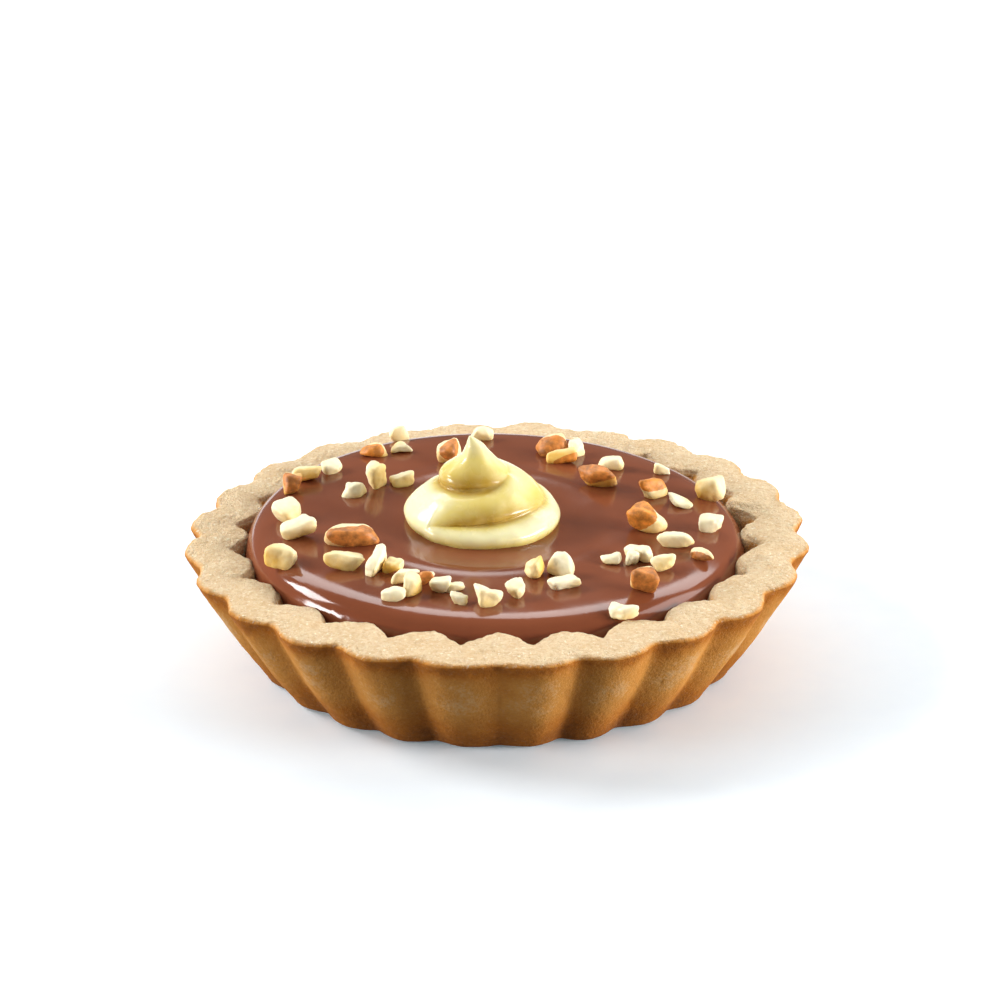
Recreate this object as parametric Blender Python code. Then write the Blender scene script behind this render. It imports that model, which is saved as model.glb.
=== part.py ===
"""Chocolate tart: a fluted shortcrust case, a domed chocolate filling and a swirled dollop of cream.

Units are metres and +Z is up. The origin is the centre of the flat underside, on the resting plane.
"""

import math

import bmesh
import bpy

MM = 0.001
TURN = 2.0 * math.pi

# Clearance that neighbouring solids keep.
GAP = 0.3 * MM

# Pastry case, outside.
RIM_RADIUS = 39.8 * MM
RIM_HEIGHT = 16.0 * MM
BASE_RADIUS = 31.0 * MM
BASE_EDGE_RADIUS = 1.6 * MM
RIM_EDGE_RADIUS = 0.6 * MM
FLUTE_COUNT = 24
FLUTE_PHASE = math.radians(7.0)
RIM_FLUTE_DEPTH = 1.5 * MM
BASE_FLUTE_DEPTH = 1.0 * MM

# Pastry case, inside. The inner edge has round lobes that meet in sharp cusps. The lobes reach
# furthest in at the front.
CUSP_RADIUS = 34.6 * MM
INNER_SLOPE = math.tan(math.radians(30.0))
FLOOR_THICKNESS = 3.6 * MM
FLOOR_FILLET = 2.5 * MM
RIM_LOBE_DEPTH = 2.1 * MM
FRONT_LOBE_GAIN = 1.2 * MM
FLOOR_LOBE_DEPTH = 0.9 * MM
CUSP_SHARPNESS = 0.12
WALL_RING_HEIGHTS = (11.5 * MM, 9.0 * MM, FLOOR_THICKNESS + FLOOR_FILLET)

# Chocolate filling. It is a round dome that stands above the rim, rises slightly towards -X and
# +Y, and rolls down steeply to where it meets the lobes of the case.
FILLING_TOP = 18.0 * MM
FILLING_EDGE = 13.0 * MM
FILLING_LEAN = (-0.03, 0.03)
DOME_RADIUS = 32.8 * MM
SHOULDER_POWER = 16

# Cream dollop.
DOLLOP_CENTRE = (-1.9 * MM, 0.0)
DOLLOP_RADIUS = 10.2 * MM
DOLLOP_HEIGHT = 11.5 * MM
FOOT_TUCK = 0.6 * MM
TIP_LEAN = (-1.6 * MM, -0.4 * MM)
COIL_TURNS = 5.2
COIL_TIGHTENING = 1.6
COIL_RELIEF = 0.7 * MM
COIL_START = math.radians(-75.0)

# Mesh resolution.
SEGMENTS = FLUTE_COUNT * 6
FILLING_RING_SHARES = (1.0, 0.985, 0.965, 0.93, 0.86, 0.7, 0.4)
DOLLOP_SEGMENTS = 36
DOLLOP_RINGS = 22


def clear_scene():
    """Remove every object so that the script can be run again in the same file."""
    for obj in list(bpy.data.objects):
        bpy.data.objects.remove(obj, do_unlink=True)


def make_material(name, color, roughness):
    """Return a non-metallic Principled material."""
    material = bpy.data.materials.new(name)
    material.use_nodes = True
    shader = material.node_tree.nodes["Principled BSDF"]
    shader.inputs["Base Color"].default_value = (*color, 1.0)
    shader.inputs["Roughness"].default_value = roughness
    shader.inputs["Metallic"].default_value = 0.0
    return material


def make_object(name, mesh_builder, material):
    """Turn a finished BMesh into a smooth-shaded object."""
    mesh = bpy.data.meshes.new(name)
    bmesh.ops.recalc_face_normals(mesh_builder, faces=mesh_builder.faces)
    mesh_builder.to_mesh(mesh)
    mesh_builder.free()
    mesh.materials.append(material)
    mesh.shade_smooth()
    mesh.set_sharp_from_angle(angle=math.radians(50.0))
    obj = bpy.data.objects.new(name, mesh)
    bpy.context.collection.objects.link(obj)
    return obj


def mix(low, high, share):
    return low + (high - low) * share


def smooth_step(value):
    """Ease from 0 to 1, flat at both ends."""
    value = min(max(value, 0.0), 1.0)
    return value * value * (3.0 - 2.0 * value)


def add_ring(mesh_builder, count, point_at):
    """Add one closed loop of vertices from the first crest on, point_at(angle) giving each place."""
    return [mesh_builder.verts.new(point_at(FLUTE_PHASE + TURN * step / count)) for step in range(count)]


def loft(mesh_builder, rings):
    """Join each ring to the next with four-sided faces."""
    for lower, upper in zip(rings, rings[1:]):
        for step, vertex in enumerate(lower):
            follower = (step + 1) % len(lower)
            mesh_builder.faces.new((vertex, lower[follower], upper[follower], upper[step]))


def close_ring(mesh_builder, ring, centre):
    """Close a ring with a fan of triangles around one central vertex."""
    middle = mesh_builder.verts.new(centre)
    for step, vertex in enumerate(ring):
        mesh_builder.faces.new((vertex, ring[(step + 1) % len(ring)], middle))


def flute(angle):
    """Outer wave of the case: 1 on a crest and -1 in a groove."""
    return math.cos(FLUTE_COUNT * (angle - FLUTE_PHASE))


def lobe(angle):
    """Inner wave of the case: 0 in a sharp cusp behind a crest and 1 on the round lobe between."""
    half_wave = math.sin(FLUTE_COUNT * (angle - FLUTE_PHASE) / 2.0)
    rounded = math.hypot(half_wave, CUSP_SHARPNESS) - CUSP_SHARPNESS
    return rounded / (math.hypot(1.0, CUSP_SHARPNESS) - CUSP_SHARPNESS)


def rim_lobe_depth(angle):
    """How far the lobes reach in at the rim."""
    frontness = max(0.0, -math.sin(angle)) ** 2
    return RIM_LOBE_DEPTH + FRONT_LOBE_GAIN * frontness


def inner_radius(angle, height):
    """Radius of the case's inner wall at a height above its floor."""
    share = (height - FLOOR_THICKNESS) / (RIM_HEIGHT - FLOOR_THICKNESS)
    depth = mix(FLOOR_LOBE_DEPTH, rim_lobe_depth(angle), smooth_step(share))
    return CUSP_RADIUS - (RIM_HEIGHT - height) * INNER_SLOPE - depth * lobe(angle)


def polar_point(radius, angle, height):
    return (radius * math.cos(angle), radius * math.sin(angle), height)


def outer_profile():
    """Mean radius, height and flute depth of the outside, from the underside up to the rim."""
    wall_foot = BASE_RADIUS + BASE_EDGE_RADIUS * 0.55
    return (
        (BASE_RADIUS - BASE_EDGE_RADIUS, 0.0, BASE_FLUTE_DEPTH),
        (BASE_RADIUS - 0.3 * BASE_EDGE_RADIUS, 0.3 * BASE_EDGE_RADIUS, BASE_FLUTE_DEPTH),
        (wall_foot, BASE_EDGE_RADIUS, BASE_FLUTE_DEPTH),
        (mix(wall_foot, RIM_RADIUS, 0.5), mix(BASE_EDGE_RADIUS, RIM_HEIGHT, 0.5), RIM_FLUTE_DEPTH),
        (RIM_RADIUS, RIM_HEIGHT - RIM_EDGE_RADIUS, RIM_FLUTE_DEPTH),
        (RIM_RADIUS - RIM_EDGE_RADIUS, RIM_HEIGHT, RIM_FLUTE_DEPTH),
    )


def build_pastry_case():
    """The cup of pastry: flat underside, flared fluted wall, thick rim and lobed inner wall."""
    mesh_builder = bmesh.new()
    rings = []
    for radius, height, depth in outer_profile():
        rings.append(add_ring(mesh_builder, SEGMENTS, lambda angle: polar_point(
            radius + 0.5 * depth * flute(angle), angle, height)))
    rings.append(add_ring(mesh_builder, SEGMENTS, lambda angle: polar_point(
        inner_radius(angle, RIM_HEIGHT) + RIM_EDGE_RADIUS, angle, RIM_HEIGHT)))
    for height in (RIM_HEIGHT - RIM_EDGE_RADIUS, mix(RIM_HEIGHT, WALL_RING_HEIGHTS[0], 0.5), *WALL_RING_HEIGHTS):
        rings.append(add_ring(mesh_builder, SEGMENTS, lambda angle: polar_point(
            inner_radius(angle, height), angle, height)))
    rings.append(add_ring(mesh_builder, SEGMENTS, lambda angle: polar_point(
        inner_radius(angle, FLOOR_THICKNESS) - FLOOR_FILLET, angle, FLOOR_THICKNESS)))
    loft(mesh_builder, rings)
    close_ring(mesh_builder, rings[0], (0.0, 0.0, 0.0))
    close_ring(mesh_builder, rings[-1], (0.0, 0.0, FLOOR_THICKNESS))
    return make_object("pastry_case", mesh_builder, make_material("pastry", (0.73, 0.52, 0.27), 0.85))


def lean(x, y):
    """How far the chocolate's slight slope lifts it at a place."""
    return FILLING_LEAN[0] * x + FILLING_LEAN[1] * y


def dome_point(radius, angle):
    """Point of the chocolate's dome, which is round and level beyond its own radius."""
    x = radius * math.cos(angle)
    y = radius * math.sin(angle)
    share = min(radius / DOME_RADIUS, 1.0)
    roll = math.sqrt(1.0 - share ** SHOULDER_POWER)
    return (x, y, mix(FILLING_EDGE, FILLING_TOP, roll) + lean(x, y))


def filling_edge_radius(angle):
    """Radius at which the dome meets the lobed wall, less the gap, found by halving."""
    low = 0.8 * CUSP_RADIUS
    high = CUSP_RADIUS
    for _ in range(30):
        radius = mix(low, high, 0.5)
        if radius + GAP < inner_radius(angle, dome_point(radius, angle)[2]):
            low = radius
        else:
            high = radius
    return low


def build_chocolate_filling():
    """The chocolate inside the case, from just above the floor to its domed top."""
    mesh_builder = bmesh.new()
    floor = FLOOR_THICKNESS + GAP
    rings = [add_ring(mesh_builder, SEGMENTS, lambda angle: polar_point(
        inner_radius(angle, FLOOR_THICKNESS) - FLOOR_FILLET - GAP, angle, floor))]
    for height in reversed(WALL_RING_HEIGHTS):
        rings.append(add_ring(mesh_builder, SEGMENTS, lambda angle: polar_point(
            inner_radius(angle, height) - GAP, angle, height)))
    for share in FILLING_RING_SHARES:
        rings.append(add_ring(mesh_builder, SEGMENTS, lambda angle: dome_point(
            share * filling_edge_radius(angle), angle)))
    loft(mesh_builder, rings)
    close_ring(mesh_builder, rings[0], (0.0, 0.0, floor))
    close_ring(mesh_builder, rings[-1], (0.0, 0.0, FILLING_TOP))
    return make_object("chocolate_filling", mesh_builder, make_material("chocolate", (0.26, 0.09, 0.045), 0.2))


def dollop_radius(climb):
    """Radius of the dollop without its coil, climb running from 0 at its foot to 1 at its tip."""
    steepness = mix(0.55, 1.0, smooth_step(climb / 0.6))
    tuck = FOOT_TUCK * (1.0 - smooth_step(climb / 0.08))
    return DOLLOP_RADIUS * (1.0 - climb) ** steepness - tuck


def dollop_point(angle, climb):
    """Point of the dollop's surface, with one coil winding up it and a tip that leans over."""
    phase = TURN * COIL_TURNS * climb ** COIL_TIGHTENING - angle + COIL_START
    fade = smooth_step(climb / 0.15) * smooth_step((0.85 - climb) / 0.3)
    bulge = COIL_RELIEF * math.cos(phase) * fade
    radius = dollop_radius(climb) + bulge
    tilt = smooth_step(climb)
    x = DOLLOP_CENTRE[0] + TIP_LEAN[0] * tilt + radius * math.cos(angle)
    y = DOLLOP_CENTRE[1] + TIP_LEAN[1] * tilt + radius * math.sin(angle)
    foot = FILLING_TOP + lean(x, y) + GAP
    return (x, y, foot + (DOLLOP_HEIGHT - GAP) * climb - 0.5 * bulge)


def build_cream_dollop():
    """The cream on top, a low swirl with a pointed tip."""
    mesh_builder = bmesh.new()
    rings = []
    for step in range(DOLLOP_RINGS):
        climb = step / DOLLOP_RINGS
        rings.append(add_ring(mesh_builder, DOLLOP_SEGMENTS, lambda angle: dollop_point(angle, climb)))
    loft(mesh_builder, rings)
    foot_height = FILLING_TOP + lean(*DOLLOP_CENTRE) + GAP
    close_ring(mesh_builder, rings[0], (*DOLLOP_CENTRE, foot_height))
    close_ring(mesh_builder, rings[-1], dollop_point(0.0, 1.0))
    return make_object("cream_dollop", mesh_builder, make_material("cream", (0.89, 0.83, 0.40), 0.25))


def main():
    clear_scene()
    build_pastry_case()
    build_chocolate_filling()
    build_cream_dollop()


main()
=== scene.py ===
"""Looks of the chocolate tart: crumbly fluted shortcrust, glossy chocolate, cream and chopped hazelnuts."""

import math

import bmesh
import bpy
import numpy as np
from mathutils import Euler, Matrix, Vector


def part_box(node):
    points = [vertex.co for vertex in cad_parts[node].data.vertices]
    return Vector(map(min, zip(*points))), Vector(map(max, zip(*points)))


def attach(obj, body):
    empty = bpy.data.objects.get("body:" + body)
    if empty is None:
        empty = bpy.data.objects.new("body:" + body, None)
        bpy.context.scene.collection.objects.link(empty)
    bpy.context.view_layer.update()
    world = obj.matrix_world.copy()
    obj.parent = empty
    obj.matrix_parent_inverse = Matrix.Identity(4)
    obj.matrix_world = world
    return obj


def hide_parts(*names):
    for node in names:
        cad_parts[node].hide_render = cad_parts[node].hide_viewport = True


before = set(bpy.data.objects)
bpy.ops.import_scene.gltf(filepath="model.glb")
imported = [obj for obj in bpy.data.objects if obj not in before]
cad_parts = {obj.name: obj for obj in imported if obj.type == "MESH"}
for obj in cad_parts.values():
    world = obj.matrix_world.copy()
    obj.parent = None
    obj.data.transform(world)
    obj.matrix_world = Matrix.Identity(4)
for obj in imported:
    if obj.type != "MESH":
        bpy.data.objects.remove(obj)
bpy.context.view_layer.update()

MM = 0.001
TURN = 2.0 * math.pi

# ---------------------------------------------------------------- sizes

case_low, case_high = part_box("pastry_case")
filling_low, filling_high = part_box("chocolate_filling")
dollop_low, dollop_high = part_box("cream_dollop")

FLUTE_COUNT = 24
FLUTE_PHASE = math.radians(7.0)
RIM_HEIGHT = case_high.z - 0.2 * MM
CREST_RADIUS = case_high.x + 0.5 * MM
RIM_FLUTE_DEPTH = 1.7 * MM
FOOT_RADIUS = CREST_RADIUS - 8.6 * MM
FOOT_FLUTE_DEPTH = 1.2 * MM
FOOT_CORNER = 1.7 * MM
FOOT_TURN = math.radians(75.0)
RIM_EDGE = 0.5 * MM
CUSP_RADIUS = CREST_RADIUS - 6.1 * MM
RIM_LOBE_DEPTH = 2.2 * MM
FRONT_LOBE_GAIN = 1.2 * MM
FLOOR_LOBE_DEPTH = 0.9 * MM
INNER_SLOPE = math.tan(math.radians(30.0))
FLOOR_HEIGHT = filling_low.z - 0.3 * MM
FLOOR_FILLET = 2.5 * MM
CASE_SEGMENTS = FLUTE_COUNT * 40

FILLING_TOP = 18.0 * MM
FILLING_EDGE = 13.0 * MM
FILLING_LEAN = (-0.03, 0.03)
DOME_RADIUS = 32.8 * MM
FRONT_DOME_CUT = 0.8 * MM
SHOULDER_POWER = 16.0
FRONT_SHOULDER_POWER = 30.0
FILLING_SEGMENTS = 720

DOLLOP_MIDDLE = Vector(((dollop_low.x + dollop_high.x) / 2, (dollop_low.y + dollop_high.y) / 2, 0.0))


# ---------------------------------------------------------------- noise and small helpers

def mix(low, high, share):
    return low + (high - low) * share


def ease(value):
    """Ease from 0 to 1, flat at both ends, for numbers and arrays."""
    value = np.clip(value, 0.0, 1.0)
    return value * value * (3.0 - 2.0 * value)


def lattice(x, y, z, seed):
    """Fixed pseudo-random value from -1 to 1 at each whole-numbered place."""
    mask = 0xFFFFFFFF
    value = (x * 374761393 + y * 668265263 + z * 1442695041 + seed * 974711) & mask
    value = ((value ^ (value >> 13)) * 1274126177) & mask
    value = value ^ (value >> 16)
    return value / (mask / 2.0) - 1.0


def noise(points, size, seed=0):
    """Smooth noise from -1 to 1 at an array of points, size being the width of its bumps."""
    scaled = np.asarray(points) / size
    cell = np.floor(scaled).astype(np.int64)
    share = ease(scaled - cell)
    total = np.zeros(scaled.shape[:-1])
    for corner in np.ndindex(2, 2, 2):
        weight = np.prod(np.where(corner, share, 1.0 - share), axis=-1)
        place = cell + np.array(corner)
        total += weight * lattice(place[..., 0], place[..., 1], place[..., 2], seed)
    return total


def ring_noise(angle, bumps, seed):
    """Smooth noise from -1 to 1 round a circle, with about that many bumps in one turn."""
    radius = bumps / TURN
    points = np.stack([radius * np.cos(angle), radius * np.sin(angle), np.zeros_like(angle)], axis=-1)
    return noise(points + 17.3, 1.0, seed)


def grid_normals(points):
    """Unit normals of a surface of rings, found from its neighbouring points."""
    along = np.gradient(points, axis=0)
    around = np.roll(points, -1, axis=1) - np.roll(points, 1, axis=1)
    normals = np.cross(around, along)
    return normals / np.maximum(np.linalg.norm(normals, axis=-1, keepdims=True), 1e-12)


def make_piece(name, vertices, faces, material, attributes):
    """Make a smooth mesh object with one float attribute for each name in attributes."""
    mesh = bpy.data.meshes.new(name)
    mesh.from_pydata([tuple(vertex) for vertex in vertices], [], faces)
    for key, values in attributes.items():
        mesh.attributes.new(key, "FLOAT", "POINT").data.foreach_set("value", np.asarray(values, np.float32))
    mesh.materials.append(material)
    mesh.shade_smooth()
    mesh.update()
    piece = bpy.data.objects.new(name, mesh)
    bpy.context.scene.collection.objects.link(piece)
    return piece


def lofted_piece(name, rings, material, attributes):
    """Closed mesh through an array of rings x segments x 3, its first and last ring closed by a fan."""
    ring_count, segments = rings.shape[:2]
    middles = [rings[0].mean(axis=0), rings[-1].mean(axis=0)]
    vertices = np.concatenate([rings.reshape(-1, 3), middles])
    step = np.arange(segments)
    follower = (step + 1) % segments
    faces = []
    for ring in range(ring_count - 1):
        low = ring * segments
        high = low + segments
        faces += np.stack([low + step, low + follower, high + follower, high + step], axis=1).tolist()
    first = ring_count * segments
    last_ring = first - segments
    faces += np.stack([follower, step, np.full(segments, first)], axis=1).tolist()
    faces += np.stack([last_ring + step, last_ring + follower, np.full(segments, first + 1)], axis=1).tolist()
    padded = {key: np.append(values.reshape(-1), (0.0, 0.0)) for key, values in attributes.items()}
    return make_piece(name, vertices, faces, material, padded)


# ---------------------------------------------------------------- materials

class Shader:
    """A Principled material under construction, with short calls for its nodes."""

    def __init__(self, name):
        self.material = bpy.data.materials.new(name)
        self.material.use_nodes = True
        self.tree = self.material.node_tree
        self.principled = self.tree.nodes["Principled BSDF"]
        self.place = self.node("ShaderNodeTexCoord").outputs["Object"]

    def node(self, kind, inputs=None, **settings):
        made = self.tree.nodes.new(kind)
        for key, value in settings.items():
            setattr(made, key, value)
        for key, value in (inputs or {}).items():
            self.feed(made.inputs[key], value)
        return made

    def feed(self, socket, value):
        """Link a socket to another, or set its value."""
        if isinstance(value, bpy.types.NodeSocket):
            self.tree.links.new(value, socket)
        else:
            socket.default_value = value

    def set(self, **inputs):
        """Set or link inputs of the Principled shader; base_color stands for "Base Color"."""
        for key, value in inputs.items():
            self.feed(self.principled.inputs[key.replace("_", " ").title().replace("Ior", "IOR")], value)

    def attribute(self, name):
        return self.node("ShaderNodeAttribute", attribute_name=name).outputs["Fac"]

    def noise(self, size, detail=2.0, roughness=0.5):
        """Noise from 0 to 1 whose bumps are about size metres wide."""
        inputs = {"Vector": self.place, "Scale": 1.0 / size, "Detail": detail, "Roughness": roughness}
        return self.node("ShaderNodeTexNoise", inputs).outputs["Fac"]

    def math(self, operation, first, second=0.0, clamp=False):
        made = self.node("ShaderNodeMath", {0: first, 1: second}, operation=operation, use_clamp=clamp)
        return made.outputs[0]

    def remap(self, value, low, high, to_low=0.0, to_high=1.0):
        inputs = {"Value": value, "From Min": low, "From Max": high, "To Min": to_low, "To Max": to_high}
        return self.node("ShaderNodeMapRange", inputs, clamp=True).outputs["Result"]

    def ramp(self, value, stops):
        """Colour ramp through (position, colour) stops."""
        made = self.node("ShaderNodeValToRGB", {"Fac": value})
        elements = made.color_ramp.elements
        while len(elements) < len(stops):
            elements.new(0.5)
        for element, (position, color) in zip(elements, stops):
            element.position = position
            element.color = (*color, 1.0)
        return made.outputs["Color"]

    def blend(self, factor, first, second, mode="MIX"):
        made = self.node("ShaderNodeMix", data_type="RGBA", blend_type=mode)
        for index, value in ((0, factor), (6, first), (7, second)):
            if isinstance(value, tuple) and len(value) == 3:
                value = (*value, 1.0)
            self.feed(made.inputs[index], value)
        return made.outputs[2]

    def bump(self, layers):
        """Chain bumps given as (height, strength, distance) and feed the shader's normal."""
        normal = None
        for height, strength, distance in layers:
            inputs = {"Height": height, "Strength": strength, "Distance": distance}
            if normal is not None:
                inputs["Normal"] = normal
            normal = self.node("ShaderNodeBump", inputs).outputs["Normal"]
        self.set(normal=normal)


def pastry_material():
    """Baked shortcrust: sandy and pale on top, golden on the wall and toasted under the rim, with painted shade
    darkening the foot, the grooves and the inner cusps.
    """
    shader = Shader("pastry_crumb")
    crumb = shader.attribute("crumb")
    patches = shader.remap(shader.noise(2.6 * MM, 3.0, 0.5), 0.25, 0.75, -0.06, 0.06)
    grain = shader.remap(shader.noise(0.5 * MM, 3.0, 0.7), 0.35, 0.65, -0.05, 0.05)
    # This attribute is the baking plus painted shade at the foot, in the grooves and in the inner cusps.
    bake_and_shade = shader.math("ADD", shader.attribute("bake_and_shade"), shader.math("ADD", patches, grain), clamp=True)
    color = shader.ramp(bake_and_shade, (
        (0.0, (0.82, 0.65, 0.42)),
        (0.18, (0.76, 0.54, 0.30)),
        (0.42, (0.62, 0.27, 0.055)),
        (0.72, (0.46, 0.15, 0.016)),
        (1.0, (0.20, 0.06, 0.010)),
    ))
    sand = shader.remap(shader.noise(0.6 * MM, 3.0, 0.7), 0.45, 0.62)
    color = shader.blend(shader.math("MULTIPLY", sand, shader.math("MULTIPLY", crumb, 0.6)),
                         color, (0.66, 0.43, 0.22))
    specks = shader.remap(shader.noise(0.24 * MM, 1.0), 0.66, 0.76)
    color = shader.blend(shader.math("MULTIPLY", specks, 0.4), color, (0.34, 0.19, 0.08))
    pale_crumbs = shader.remap(shader.noise(0.42 * MM, 2.0), 0.6, 0.72)
    color = shader.blend(shader.math("MULTIPLY", pale_crumbs, shader.math("MULTIPLY", crumb, 0.8)),
                         color, (0.97, 0.89, 0.70))
    shader.set(base_color=color, roughness=0.8, specular_ior_level=0.15,
               subsurface_weight=0.1, subsurface_scale=1.5 * MM, subsurface_radius=(1.0, 0.6, 0.3))
    fine = shader.math("MULTIPLY", shader.noise(0.4 * MM, 3.0, 0.7), shader.math("ADD", crumb, 0.3))
    shader.bump((
        (shader.math("MULTIPLY", shader.noise(1.2 * MM, 3.0, 0.6), crumb), 0.7, 0.45 * MM),
        (fine, 1.0, 0.4 * MM),
    ))
    return shader.material


def chocolate_material():
    """Set milk chocolate cream with a soft, uneven gloss."""
    shader = Shader("milk_chocolate")
    cloud = shader.noise(9.0 * MM, 2.0)
    color = shader.ramp(cloud, (
        (0.3, (0.192, 0.052, 0.021)),
        (0.7, (0.222, 0.063, 0.026)),
    ))
    roughness = shader.remap(shader.noise(5.0 * MM, 3.0), 0.3, 0.7, 0.09, 0.16)
    shader.set(base_color=color, roughness=roughness, ior=1.45)
    shader.bump(((shader.noise(7.0 * MM, 1.0), 0.12, 0.4 * MM),))
    return shader.material


def cream_material():
    """Pale custard cream, with painted shade: deeper yellow under each turn of the coil and round its base."""
    shader = Shader("custard_cream")
    # Painted shade: deeper yellow under each turn of the coil and at its base.
    fold_shade = shader.attribute("fold_shade")
    color = shader.ramp(fold_shade, (
        (0.0, (0.86, 0.82, 0.52)),
        (0.3, (0.74, 0.59, 0.15)),
        (0.75, (0.46, 0.27, 0.010)),
    ))
    tint = shader.remap(shader.noise(3.0 * MM, 2.0), 0.3, 0.7)
    color = shader.blend(shader.math("MULTIPLY", tint, 0.2), color, (0.88, 0.84, 0.58))
    roughness = shader.remap(shader.noise(2.5 * MM, 2.0), 0.3, 0.7, 0.16, 0.32)
    shader.set(base_color=color, roughness=roughness, ior=1.45,
               subsurface_weight=0.2, subsurface_scale=2.0 * MM, subsurface_radius=(1.0, 0.8, 0.25))
    shader.bump(((shader.noise(1.6 * MM, 2.0), 0.08, 0.2 * MM),))
    return shader.material


def nut_material(name, pale, deep, skin_color):
    """Chopped hazelnut: tone runs from pale to deep flesh, its deep end also painted shade on the lower front
    side, and skin shows where its attribute is 1.
    """
    shader = Shader(name)
    mottle = shader.remap(shader.noise(0.9 * MM, 3.0, 0.6), 0.3, 0.7, -0.15, 0.15)
    tone = shader.math("ADD", shader.attribute("tone"), mottle, clamp=True)
    color = shader.blend(tone, pale, deep)
    ragged = shader.remap(shader.noise(0.5 * MM, 3.0, 0.7), 0.3, 0.7, -0.25, 0.25)
    skin = shader.remap(shader.math("ADD", shader.attribute("skin"), ragged), 0.45, 0.6)
    streaks = shader.remap(shader.noise(1.1 * MM, 3.0, 0.6), 0.35, 0.65, 0.65, 1.4)
    streaked = shader.blend(1.0, skin_color, shader.node("ShaderNodeCombineColor", {
        "Red": streaks, "Green": streaks, "Blue": streaks}).outputs["Color"], "MULTIPLY")
    color = shader.blend(skin, color, streaked)
    shader.set(base_color=color, roughness=0.5, specular_ior_level=0.4,
               subsurface_weight=0.15, subsurface_scale=1.0 * MM, subsurface_radius=(1.0, 0.8, 0.45))
    shader.bump((
        (shader.noise(0.8 * MM, 2.0), 0.3, 0.15 * MM),
        (shader.noise(0.2 * MM, 2.0), 0.3, 0.05 * MM),
    ))
    return shader.material


# ---------------------------------------------------------------- pastry case

def flute_share(angle):
    """Place within a flute: 0 and 1 on its crests and 0.5 in its groove, slightly uneven round the case."""
    warp = math.radians(0.9) * ring_noise(angle, 20.0, 3)
    turns = FLUTE_COUNT * (angle + warp - FLUTE_PHASE) / TURN
    return turns - np.floor(turns)


def rounded_wave(half_wave, sharpness):
    """Turn a half wave into broad rounds that meet in valleys; a small sharpness gives sharp ones."""
    top = math.hypot(1.0, sharpness) - sharpness
    return (np.hypot(half_wave, sharpness) - sharpness) / top


def crest_wave(angle):
    """1 on the outside's broad crests and 0 in its narrow grooves."""
    return rounded_wave(np.cos(math.pi * flute_share(angle)), 0.22)


def lobe_wave(angle):
    """1 on the inside's broad lobes and 0 in its narrow cusps, which lie behind the crests."""
    return rounded_wave(np.sin(math.pi * flute_share(angle)), 0.10)


def groove_evenness(angle):
    """Share of its full depth that each groove has; the one at the very front is nearly pressed flat."""
    from_front = np.abs((angle - math.radians(269.5) + math.pi) % TURN - math.pi)
    return 1.0 - 0.6 * np.exp(-(from_front / math.radians(8.0)) ** 4)


def rim_outer_radius(angle):
    depth = RIM_FLUTE_DEPTH * (1.0 + 0.3 * ring_noise(angle, 16.0, 5)) * groove_evenness(angle)
    return CREST_RADIUS - depth * (1.0 - crest_wave(angle)) + 0.35 * MM * ring_noise(angle, 9.0, 6)


def rim_height(angle):
    return RIM_HEIGHT + 0.22 * MM * ring_noise(angle, 14.0, 8) + 0.12 * MM * ring_noise(angle, 50.0, 9)


def inner_radius(angle, height):
    """Radius of the inner wall at a height."""
    share = (height - FLOOR_HEIGHT) / (RIM_HEIGHT - FLOOR_HEIGHT)
    frontness = np.maximum(0.0, -np.sin(angle)) ** 2
    rim_depth = (RIM_LOBE_DEPTH + FRONT_LOBE_GAIN * frontness) * (1.0 + 0.15 * ring_noise(angle, 18.0, 11))
    depth = mix(FLOOR_LOBE_DEPTH, rim_depth, ease(share))
    cusp = CUSP_RADIUS + 0.3 * MM * ring_noise(angle, 11.0, 12)
    return cusp - (RIM_HEIGHT - height) * INNER_SLOPE - depth * lobe_wave(angle)


def wall_radius(angle, share):
    """Radius of the outer wall, share running from 0 at the foot's corner to 1 under the rim."""
    foot_depth = FOOT_FLUTE_DEPTH * (1.0 + 0.35 * ring_noise(angle, 16.0, 14)) * groove_evenness(angle)
    foot = FOOT_RADIUS + 0.25 * MM * ring_noise(angle, 7.0, 15) - foot_depth * (1.0 - crest_wave(angle))
    belly = 0.35 * MM * np.sin(math.pi * share)
    return mix(foot, rim_outer_radius(angle), share) + belly


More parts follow.
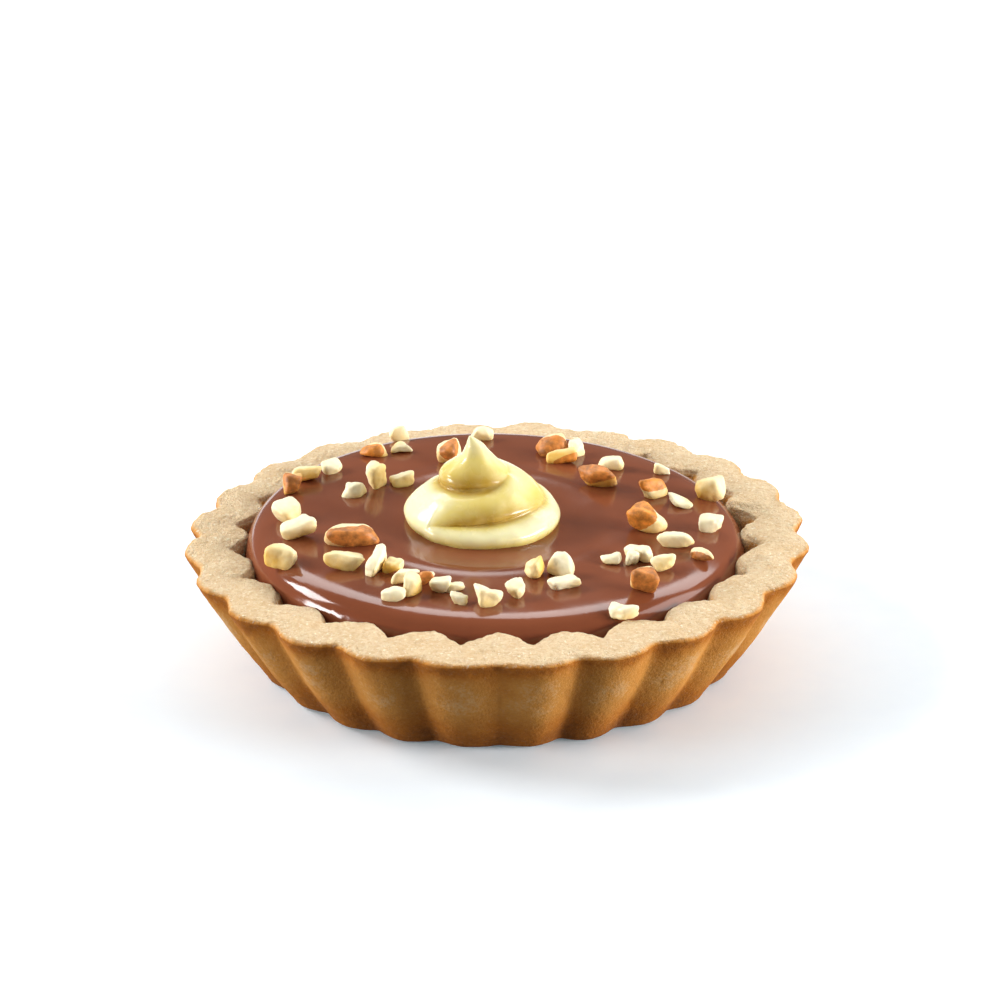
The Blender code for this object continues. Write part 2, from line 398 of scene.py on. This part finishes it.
def case_rings():
    """Rings of the case from the middle of its underside over the rim to the middle of its floor.

    The result is the rings, the part of the case that each belongs to and how far along that part it is.
    """
    angle = TURN * np.arange(CASE_SEGMENTS) / CASE_SEGMENTS
    top = rim_height(angle)
    outer = rim_outer_radius(angle)
    inner = inner_radius(angle, RIM_HEIGHT)
    corner_foot = wall_radius(angle, 0.0)
    rings = []

    def add(part, share, radius, height):
        height = np.broadcast_to(height, angle.shape)
        rings.append((part, share, np.stack([radius * np.cos(angle), radius * np.sin(angle), height], axis=-1)))

    for share in (0.1, 0.5, 0.85):
        add("underside", share, (corner_foot - FOOT_CORNER) * share, 0.0)
    for share in np.linspace(0.0, 1.0, 7):
        turn = FOOT_TURN * share
        inward = FOOT_CORNER * (1.0 - math.sin(turn))
        add("corner", share, corner_foot - inward, FOOT_CORNER * (1.0 - math.cos(turn)))
    corner_top = FOOT_CORNER * (1.0 - math.cos(FOOT_TURN))
    for share in np.linspace(0.0, 1.0, 40)[1:]:
        add("wall", share, wall_radius(angle, share), mix(corner_top, top - RIM_EDGE, share))
    for share in np.linspace(0.0, 1.0, 6)[1:]:
        turn = 0.5 * math.pi * share
        drop = RIM_EDGE * (1.0 - math.sin(turn))
        add("outer_edge", share, outer - RIM_EDGE * (1.0 - math.cos(turn)), top - drop)
    for share in np.linspace(0.0, 1.0, 20)[1:]:
        crown = 0.25 * MM * 4.0 * share * (1.0 - share)
        add("top", share, mix(outer - RIM_EDGE, inner + RIM_EDGE, share), top + crown)
    for share in np.linspace(0.0, 1.0, 6)[1:]:
        turn = 0.5 * math.pi * share
        drop = RIM_EDGE * (1.0 - math.cos(turn))
        add("inner_edge", share, inner + RIM_EDGE * (1.0 - math.sin(turn)), top - drop)
    fillet_top = FLOOR_HEIGHT + FLOOR_FILLET
    for share in np.linspace(0.0, 1.0, 22)[1:]:
        height = mix(top - RIM_EDGE, fillet_top, share ** 1.5)
        add("inner_wall", share, inner_radius(angle, height), height)
    add("floor", 0.5, inner_radius(angle, FLOOR_HEIGHT) - FLOOR_FILLET, FLOOR_HEIGHT)
    return angle, rings


def crumble(points, part, share):
    """How far the surface stands out of its smooth form: lumps, crumbs and small pits."""
    lumps = noise(points, 5.0 * MM, 21)
    crumbs = noise(points, 1.3 * MM, 22)
    grains = noise(points, 0.6 * MM, 23)
    pits = np.clip(noise(points, 0.9 * MM, 24) - 0.55, 0.0, 1.0)
    if part in ("underside", "floor"):
        return 0.0 * lumps
    if part in ("corner", "wall"):
        near_rim = ease((share - 0.82) / 0.18) if part == "wall" else 0.0
        return MM * (0.10 * lumps + mix(0.03, 0.13, near_rim) * crumbs + mix(0.02, 0.06, near_rim) * grains
                     - 0.15 * pits)
    if part in ("outer_edge", "inner_edge"):
        return MM * (0.12 * lumps + 0.16 * crumbs + 0.10 * grains - 0.4 * pits)
    return MM * (0.12 * lumps + 0.09 * crumbs + 0.06 * grains - 0.4 * pits)


def bake_and_shade_level(angle, points, part, share):
    """How far each point is baked, with painted shade added at the foot, in the grooves and in the inner cusps:
    0 is sandy and pale, 0.45 golden and 1 dark brown.
    """
    uneven = noise(points, 3.5 * MM, 31)
    if part in ("underside", "corner", "wall"):
        drop = (RIM_HEIGHT - points[..., 2]) / MM
        band = np.exp(-((drop - 0.6) / (2.0 + 0.6 * uneven)) ** 2)
        # Painted shade, partly real baking: darker towards the foot.
        foot = ease((drop - 7.0) / 9.0)
        # Painted shade: darker in the grooves between the crests.
        groove = 1.0 - crest_wave(angle)
        return 0.38 + 0.05 * uneven + 0.42 * band + 0.48 * foot + 0.12 * groove * (1.0 - band)
    if part == "outer_edge":
        return mix(0.70, 0.16, share ** 0.7) + 0.08 * uneven
    if part == "inner_wall":
        # Partly toasting, partly painted shade: darker in the cusps just under the rim.
        cusp = (1.0 - lobe_wave(angle)) ** 1.3
        depth = (RIM_HEIGHT - points[..., 2]) / MM
        band = np.exp(-((depth - 1.6) / 1.3) ** 2)
        return 0.14 + 0.05 * uneven + 0.5 * band * cusp * (0.7 + 0.6 * uneven)
    return 0.06 + 0.05 * uneven


def crumb_level(part, share):
    """How sandy the surface is: the mould has left the wall smoother than the cut rim."""
    if part in ("underside", "corner", "wall"):
        return 0.06
    if part == "outer_edge":
        return mix(0.06, 1.0, share)
    return 1.0


def build_pastry_case():
    angle, parts = case_rings()
    rings = np.stack([points for _, _, points in parts])
    normals = grid_normals(rings)
    bake_and_shade, crumb = [], []
    for index, (part, share, points) in enumerate(parts):
        rings[index] += normals[index] * crumble(points, part, share)[..., None]
        bake_and_shade.append(bake_and_shade_level(angle, points, part, share))
        crumb.append(np.full_like(angle, crumb_level(part, share)))
    rings[..., 2] = np.maximum(rings[..., 2], 0.0)
    attributes = {"bake_and_shade": np.array(bake_and_shade), "crumb": np.array(crumb)}
    return lofted_piece("pastry_case_crumb", rings, pastry_material(), attributes)


# ---------------------------------------------------------------- chocolate filling

def lean(x, y):
    """How far the chocolate's slight slope lifts it at a place."""
    return FILLING_LEAN[0] * x + FILLING_LEAN[1] * y


def ripples(x, y):
    """The shallow moat and swell that the chocolate has round the dollop, and its slow waves."""
    from_dollop = np.hypot(x - DOLLOP_MIDDLE.x, y - DOLLOP_MIDDLE.y) / MM
    moat = -0.10 * np.exp(-((from_dollop - 12.3) / 1.6) ** 2)
    swell = 0.16 * np.exp(-((from_dollop - 16.2) / 1.5) ** 2)
    points = np.stack([x, y, np.zeros_like(x)], axis=-1)
    waves = 0.10 * noise(points, 11.0 * MM, 41)
    return MM * (moat + swell + waves)


def dome_height(x, y):
    """Height of the chocolate's round dome, rolling over most sharply in front and level outside it."""
    radius = np.hypot(x, y)
    front = np.clip(-y / np.maximum(radius, MM), 0.0, 1.0) ** 2
    share = np.minimum(radius / (DOME_RADIUS - FRONT_DOME_CUT * front), 1.0)
    roll = np.sqrt(1.0 - share ** mix(SHOULDER_POWER, FRONT_SHOULDER_POWER, front))
    return mix(FILLING_EDGE, FILLING_TOP, roll) + lean(x, y) + ripples(x, y) * (1.0 - share ** 8)


def filling_edge_radius(angle):
    """Radius at which the dome has run just into the lobed wall, found by halving."""
    into_wall = 0.25 * MM
    low = np.full_like(angle, 0.8 * CUSP_RADIUS)
    high = np.full_like(angle, 1.05 * CUSP_RADIUS)
    for _ in range(26):
        radius = mix(low, high, 0.5)
        height = dome_height(radius * np.cos(angle), radius * np.sin(angle))
        inside = radius - into_wall < inner_radius(angle, height)
        low = np.where(inside, radius, low)
        high = np.where(inside, high, radius)
    return low


def build_chocolate_filling():
    """The filling from just above the floor, just into the inner wall, to its domed glossy top."""
    angle = TURN * np.arange(FILLING_SEGMENTS) / FILLING_SEGMENTS
    cosine, sine = np.cos(angle), np.sin(angle)
    edge = filling_edge_radius(angle)
    rings = []
    for height in (FLOOR_HEIGHT + 0.1 * MM, FLOOR_HEIGHT + FLOOR_FILLET, 9.0 * MM, 11.5 * MM):
        level = np.full_like(angle, height)
        radius = inner_radius(angle, level) + (0.1 * MM if rings else -FLOOR_FILLET)
        rings.append(np.stack([radius * cosine, radius * sine, level], axis=-1))
    for step in np.linspace(0.0, 1.0, 110):
        radius = edge * mix(0.02, 1.0, 1.0 - step ** 2.2)
        x, y = radius * cosine, radius * sine
        rings.append(np.stack([x, y, dome_height(x, y)], axis=-1))
    return lofted_piece("chocolate_filling_gloss", np.array(rings), chocolate_material(), {})


# ---------------------------------------------------------------- cream dollop

COIL_START = math.radians(-135.0)
DOLLOP_HEIGHT = 11.6
DOLLOP_SEGMENTS = 360

# Curves of the dollop, in mm by height above the chocolate.
OUTLINE_HEIGHTS = (-0.3, 0.5, 1.2, 2.0, 2.8, 3.4, 3.9, 4.5, 4.9, 5.5, 6.2, 7.0, 8.1, 9.2, 10.4, 11.2, 11.6)
OUTLINE_RADII = (9.7, 10.1, 10.2, 9.8, 9.1, 8.5, 7.9, 7.3, 6.9, 6.3, 5.6, 4.6, 3.1, 2.0, 1.2, 0.55, 0.12)
SWAY_HEIGHTS = (3.5, 5.5, 7.0, 9.0, 10.4, 11.6)
SWAY = (0.0, -0.35, -0.85, -0.7, -0.85, -1.45)

# The crease under the coil, by turns from where the coil starts: its height and depth in mm.
CREASE_TURNS = (0.0, 0.06, 0.125, 0.2, 0.27, 0.37, 0.5, 0.62, 0.75, 0.85, 1.0, 1.08, 1.16, 1.24, 1.32, 1.6, 2.0)
CREASE_HEIGHTS = (1.8, 2.1, 2.3, 2.7, 3.0, 2.8, 3.2, 3.6, 4.2, 4.8, 5.2, 5.5, 5.8, 6.3, 6.8, 7.8, 9.2)
CREASE_DEPTHS = (0.2, 1.7, 2.3, 1.9, 1.2, 1.0, 0.9, 0.8, 1.0, 1.7, 2.3, 2.4, 2.0, 1.1, 0.4, 0.2, 0.0)


def softened(values, width):
    """Values along a curve, each averaged with its neighbours."""
    padded = np.pad(values, width, mode="edge")
    weights = np.hanning(2 * width + 3)[1:-1]
    return np.convolve(padded, weights / weights.sum(), mode="valid")


def dollop_profile(angle, rings):
    """Radius, height and painted shade up one side of the dollop, in even steps along its curve."""
    height = np.linspace(OUTLINE_HEIGHTS[0], DOLLOP_HEIGHT, 700)
    radius = np.interp(height, OUTLINE_HEIGHTS, OUTLINE_RADII)
    start = ((angle - COIL_START) / TURN) % 1.0
    crease = np.zeros_like(height)
    # Painted shade: deepest at the base and just under each crease.
    fold_shade = 0.5 * np.exp(-np.maximum(height, 0.0) / 0.8)
    for turns in (start, start + 1.0):
        above = height - np.interp(turns, CREASE_TURNS, CREASE_HEIGHTS)
        depth = np.interp(turns, CREASE_TURNS, CREASE_DEPTHS)
        crease += depth * np.where(above > 0.0, np.exp(-above / 0.95), np.exp(above / 0.35))
        fold_shade += depth / 1.8 * np.where(above > 0.0, np.exp(-above / 2.2), np.exp(above / 0.15))
    radius = softened(radius, 30) - softened(crease, 14)
    radius[-1] = OUTLINE_RADII[-1]
    length = np.append(0.0, np.cumsum(np.hypot(np.diff(radius), np.diff(height))))
    even = np.linspace(0.0, length[-1], rings)
    return [np.interp(even, length, values) for values in (radius, height, fold_shade)]


def build_cream_dollop():
    """A coil wound up into a soft cone, creased under each turn and drawn out to a leaning tip."""
    angles = TURN * np.arange(DOLLOP_SEGMENTS) / DOLLOP_SEGMENTS
    profiles = np.array([dollop_profile(angle, 180) for angle in angles])
    radius, height, fold_shade = profiles.transpose(1, 2, 0)
    sway = np.interp(height, SWAY_HEIGHTS, SWAY)
    x = radius * np.cos(angles) + sway
    y = radius * np.sin(angles) + 0.3 * sway
    points = np.stack([x, y, height], axis=-1) * MM
    points[..., 2] += FILLING_TOP + lean(points[..., 0] + DOLLOP_MIDDLE.x, points[..., 1] + DOLLOP_MIDDLE.y)
    points[..., :2] += DOLLOP_MIDDLE.x, DOLLOP_MIDDLE.y
    firmness = ease((DOLLOP_HEIGHT - height) / 3.0)
    uneven = 0.22 * noise(points, 4.0 * MM, 71) + 0.08 * noise(points, 1.6 * MM, 72)
    points += grid_normals(points) * (uneven * firmness)[..., None] * MM
    return lofted_piece("cream_dollop_swirl", points, cream_material(), {"fold_shade": np.clip(fold_shade, 0.0, 1.0)})


# ---------------------------------------------------------------- chopped hazelnuts

# Each nut: place x, y, then length, width and height, all in mm, its heading in degrees,
# its tone from 0 pale to 1 deep, and how much of it is covered by skin.
BLANCHED = (
    (-13.5, 27.0, 2.6, 1.4, 2.4, 20, 0.2, 0.0),
    (-13.0, 21.5, 2.9, 2.2, 1.7, 10, 0.6, 0.0),
    (-1.5, 26.5, 3.4, 1.8, 2.4, 0, 0.3, 0.0),
    (-22.0, 14.5, 2.6, 2.2, 1.9, 30, 0.1, 0.0),
    (-16.0, 9.5, 3.3, 3.0, 3.6, 60, 0.6, 0.0),
    (-19.0, 6.5, 3.0, 2.2, 2.0, -10, 0.3, 0.0),
    (-12.5, 10.5, 3.1, 2.2, 1.8, 5, 0.6, 0.0),
    (-27.0, -1.5, 3.8, 3.2, 3.3, 40, 0.4, 0.0),
    (-25.5, -6.5, 4.3, 2.6, 2.4, 15, 0.4, 0.0),
    (-15.0, -16.5, 4.6, 1.8, 2.2, 70, 0.2, 0.0),
    (-11.5, -19.5, 3.4, 2.0, 2.1, 20, 0.3, 0.0),
    (-13.0, -24.5, 3.4, 1.9, 1.5, 5, 0.1, 0.0),
    (-8.5, -18.5, 1.5, 1.2, 1.4, 0, 0.2, 0.0),
    (-7.0, -22.0, 2.5, 2.4, 2.9, 80, 0.4, 0.0),
    (-5.0, -22.0, 2.9, 1.6, 1.7, 30, 0.3, 0.0),
    (-4.5, -25.5, 2.3, 1.6, 1.3, -20, 0.4, 0.0),
    (-1.0, -25.5, 3.5, 3.0, 2.5, 0, 0.3, 0.0),
    (11.0, 21.0, 3.0, 1.8, 2.2, 50, 0.2, 0.0),
    (15.5, 17.0, 3.3, 2.2, 1.9, -10, 0.6, 0.0),
    (22.5, 15.5, 2.2, 1.8, 1.7, 0, 0.1, 0.0),
    (24.5, 4.5, 3.5, 2.4, 1.7, 0, 0.3, 0.0),
    (28.0, -2.5, 3.1, 2.2, 2.0, 0, 0.1, 0.0),
    (23.0, -8.0, 4.4, 2.2, 2.0, -18, 0.6, 0.0),
    (18.0, -12.0, 3.6, 1.9, 2.0, -40, 0.2, 0.0),
    (14.5, -13.5, 2.6, 1.6, 1.4, -8, 0.2, 0.0),
    (17.0, -13.5, 2.0, 1.4, 1.7, 60, 0.1, 0.0),
    (21.0, -15.0, 3.3, 2.0, 1.8, 12, 0.4, 0.0),
    (8.0, -17.0, 3.5, 2.8, 2.9, -15, 0.2, 0.0),
    (8.5, -21.0, 3.9, 2.2, 1.8, 18, 0.1, 0.0),
    (2.5, -23.5, 2.4, 1.8, 2.3, 40, 0.2, 0.0),
    (15.0, -27.0, 3.9, 2.0, 1.7, -42, 0.2, 0.0),
)
GOLDEN = (
    (-16.5, 20.5, 3.5, 2.2, 1.7, 10, 0.6, 0.4),
    (-25.5, 12.0, 3.9, 2.8, 2.3, 15, 0.5, 0.0),
    (-27.0, -13.5, 3.8, 2.8, 2.7, -15, 0.4, 0.0),
    (-19.5, -15.5, 5.2, 2.6, 2.3, 8, 0.5, 0.0),
    (-13.0, -17.0, 2.7, 1.9, 1.6, -20, 0.7, 0.0),
    (-10.5, -23.0, 3.6, 2.3, 2.7, 75, 0.4, 0.0),
    (9.0, 18.5, 3.9, 2.0, 1.5, 5, 0.8, 0.3),
    (21.0, 8.0, 4.2, 2.6, 2.7, 35, 0.2, 0.35),
    (28.5, 8.0, 4.0, 3.6, 3.3, 0, 0.4, 0.0),
    (19.5, -3.5, 4.4, 3.6, 3.7, -20, 0.3, 0.45),
    (5.0, -18.0, 2.7, 2.4, 2.7, 10, 0.8, 0.0),
)
SKIN_ON = (
    (-6.5, 18.5, 3.8, 3.0, 3.0, 60, 0.3, 0.25),
    (-27.0, 8.0, 3.1, 2.6, 2.5, 20, 1.0, 0.45),
    (-18.5, -8.5, 6.4, 3.0, 2.8, 5, 0.2, 0.4),
    (-9.0, -20.0, 2.2, 1.4, 1.4, 0, 0.5, 1.0),
    (8.0, 21.5, 4.5, 3.0, 2.6, 0, 0.7, 0.7),
    (13.5, 11.0, 5.3, 3.0, 2.8, -5, 0.6, 0.45),
    (26.0, -11.5, 3.5, 1.5, 1.5, -32, 0.4, 0.35),
    (18.0, -21.0, 3.4, 2.8, 3.2, 10, 0.7, 0.4),
)


NUT_SIZE_GAIN = 1.1
NUT_SUNK_SHARE = 0.12


def nut_shape(ball, size, rng):
    """Turn unit directions into a chunk cut by flat faces with slightly rounded edges."""
    faces = [Vector(axis) for axis in ((1, 0, 0), (-1, 0, 0), (0, 1, 0), (0, -1, 0), (0, 0, 1), (0, 0, -1))]
    normals = [np.array(face) + rng.uniform(-0.35, 0.35, 3) for face in faces]
    reach = list(rng.uniform(0.8, 1.0, len(normals)))
    for _ in range(rng.integers(3, 6)):
        normals.append(rng.normal(size=3))
        reach.append(rng.uniform(0.72, 1.0))
    power = rng.uniform(4.0, 8.0)
    total = np.zeros(len(ball))
    for normal, distance in zip(normals, reach):
        facing = np.maximum(ball @ (normal / np.linalg.norm(normal)), 0.0)
        total += (facing / distance) ** power
    shape = ball * (total ** (-1.0 / power))[:, None]
    shape /= np.abs(shape).max(axis=0)
    shape = shape * np.array(size) / 2.0
    offset = rng.uniform(0.0, 50.0, 3) * MM
    rough = 0.22 * noise(shape + offset, 1.5 * MM, 51) + 0.09 * noise(shape + offset, 0.5 * MM, 52)
    return shape + ball * rough[:, None] * MM


def tone_with_painted_shade(ball, tone, rng):
    """Tone at each direction, with painted shade: paler on top and along one side, more golden on the other,
    mostly lower and towards the front.
    """
    side = rng.normal(size=3) + np.array((0.0, -1.0, -1.6))
    facing = ball @ (side / np.linalg.norm(side))
    return np.clip(tone + 0.6 * facing, 0.0, 1.0)


def skin_cover(ball, amount, rng):
    """Share of skin at each direction: it covers one side of the nut."""
    if amount <= 0.0:
        return np.zeros(len(ball))
    side = 0.7 * rng.normal(size=3) + np.array((0.0, -1.0, 0.2))
    facing = ball @ (side / np.linalg.norm(side))
    return ease((facing - (1.0 - 2.0 * amount)) / 0.25 + 0.5)


def build_nuts(name, nuts, material, seed):
    """All the nuts of one kind as a single mesh of closed chunks, resting in the chocolate."""
    mesh_builder = bmesh.new()
    bmesh.ops.create_icosphere(mesh_builder, subdivisions=4, radius=1.0)
    ball = np.array([vertex.co[:] for vertex in mesh_builder.verts])
    triangles = np.array([[vertex.index for vertex in face.verts] for face in mesh_builder.faces])
    mesh_builder.free()
    rng = np.random.default_rng(seed)
    vertices, faces, tones, skins = [], [], [], []
    for x, y, length, width, height, heading, tone, skin in nuts:
        shape = nut_shape(ball, np.array((length, width, height)) * NUT_SIZE_GAIN * MM, rng)
        tilt = Euler((rng.uniform(-0.2, 0.2), rng.uniform(-0.2, 0.2), math.radians(heading)))
        shape = shape @ np.array(tilt.to_matrix()).T
        sunk = NUT_SUNK_SHARE * height * MM
        lift = float(dome_height(np.array(x * MM), np.array(y * MM))) - shape[:, 2].min() - sunk
        faces += (triangles + sum(len(part) for part in vertices)).tolist()
        vertices.append(shape + np.array((x * MM, y * MM, lift)))
        # Each nut's own tone plus painted shade: more golden on its lower front side.
        tones.append(tone_with_painted_shade(ball, tone, rng))
        skins.append(skin_cover(ball, skin, rng))
    attributes = {"tone": np.concatenate(tones), "skin": np.concatenate(skins)}
    return make_piece(name, np.concatenate(vertices), faces, material, attributes)


# ---------------------------------------------------------------- floor, light and camera

FLOOR_HALF_WIDTH = 3.0
SOFTBOX_DISTANCE = 2.0


def build_floor():
    """White ground with a faint cool glow, which doesn't light the tart from below."""
    shader = Shader("floor_white")
    speckle = shader.remap(shader.noise(4.0 * MM, 2.0), 0.3, 0.7, 0.0, 1.0)
    shader.set(base_color=shader.blend(speckle, (0.83, 0.86, 0.89), (0.85, 0.88, 0.91)), roughness=0.8,
               emission_color=(0.55, 0.86, 1.0, 1.0), emission_strength=0.14)
    half = FLOOR_HALF_WIDTH
    mesh = bpy.data.meshes.new("floor")
    level = case_low.z - 0.02 * MM
    corners = [(-half, -half, level), (half, -half, level), (half, half, level), (-half, half, level)]
    mesh.from_pydata(corners, [], [(0, 1, 2, 3)])
    mesh.materials.append(shader.material)
    floor = bpy.data.objects.new("floor", mesh)
    floor.visible_diffuse = False
    bpy.context.scene.collection.objects.link(floor)
    return floor


def add_softbox(name, azimuth, elevation, width, height, radiance):
    """White rectangular light facing the tart; azimuth 0 is behind the tart and 90 is to its left."""
    turn = math.radians(azimuth)
    rise = math.radians(elevation)
    direction = Vector((-math.sin(turn) * math.cos(rise), math.cos(turn) * math.cos(rise), math.sin(rise)))
    lamp = bpy.data.lights.new(name, "AREA")
    lamp.shape = "RECTANGLE"
    lamp.size = width
    lamp.size_y = height
    lamp.energy = radiance * math.pi * width * height
    lamp.color = (1.0, 1.0, 1.0)
    light = bpy.data.objects.new(name, lamp)
    light.location = direction * SOFTBOX_DISTANCE
    light.rotation_euler = direction.to_track_quat("Z", "Y").to_euler()
    bpy.context.scene.collection.objects.link(light)


def add_lights():
    add_softbox("back_high", 0.0, 45.0, 3.0, 0.62, 4.8)
    add_softbox("left", 76.0, 34.0, 0.7, 0.6, 21.0)
    add_softbox("left_low", 100.0, 11.0, 0.8, 0.45, 28.0)
    add_softbox("right", -80.0, 36.0, 1.0, 0.8, 4.4)
    add_softbox("right_low", -103.0, 11.0, 0.9, 0.5, 38.0)
    world = bpy.data.worlds.new("studio")
    world.use_nodes = True
    background = world.node_tree.nodes["Background"]
    background.inputs["Color"].default_value = (1.0, 1.0, 1.0, 1.0)
    background.inputs["Strength"].default_value = 0.18
    bpy.context.scene.world = world


def add_camera():
    """Camera looking along +Y, a little above the tart, tipped by less than a degree."""
    elevation = math.radians(22.27)
    roll = math.radians(-0.86)
    target = Vector((0.54, 0.0, 20.47)) * MM
    distance = 400.0 * MM
    forward = Vector((0.0, math.cos(elevation), -math.sin(elevation)))
    level_up = Vector((0.0, math.sin(elevation), math.cos(elevation)))
    level_right = Vector((1.0, 0.0, 0.0))
    right = level_right * math.cos(roll) + level_up * math.sin(roll)
    up = level_up * math.cos(roll) - level_right * math.sin(roll)
    camera_data = bpy.data.cameras.new("camera")
    camera_data.sensor_width = 36.0
    camera_data.lens = 110.5
    camera_data.clip_start = 0.01
    camera = bpy.data.objects.new("camera", camera_data)
    turn = Matrix((right, up, -forward)).transposed()
    camera.matrix_world = Matrix.Translation(target - forward * distance) @ turn.to_4x4()
    bpy.context.scene.collection.objects.link(camera)
    bpy.context.scene.camera = camera


# ---------------------------------------------------------------- the whole

bpy.context.scene.view_settings.view_transform = "Standard"

pastry_case = build_pastry_case()
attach(pastry_case, "root")
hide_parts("pastry_case")

chocolate = build_chocolate_filling()
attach(chocolate, "root")
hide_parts("chocolate_filling")

dollop = build_cream_dollop()
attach(dollop, "root")
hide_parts("cream_dollop")

nut_pieces = (
    build_nuts("nuts_blanched", BLANCHED, nut_material(
        "nut_blanched", (0.92, 0.83, 0.57), (0.88, 0.66, 0.26), (0.58, 0.24, 0.06)), 61),
    build_nuts("nuts_golden", GOLDEN, nut_material(
        "nut_golden", (0.91, 0.79, 0.47), (0.84, 0.52, 0.11), (0.66, 0.24, 0.035)), 62),
    build_nuts("nuts_skin_on", SKIN_ON, nut_material(
        "nut_skin_on", (0.91, 0.78, 0.47), (0.78, 0.42, 0.09), (0.52, 0.19, 0.04)), 63),
)
for piece in nut_pieces:
    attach(piece, "root")

build_floor()
add_lights()
add_camera()
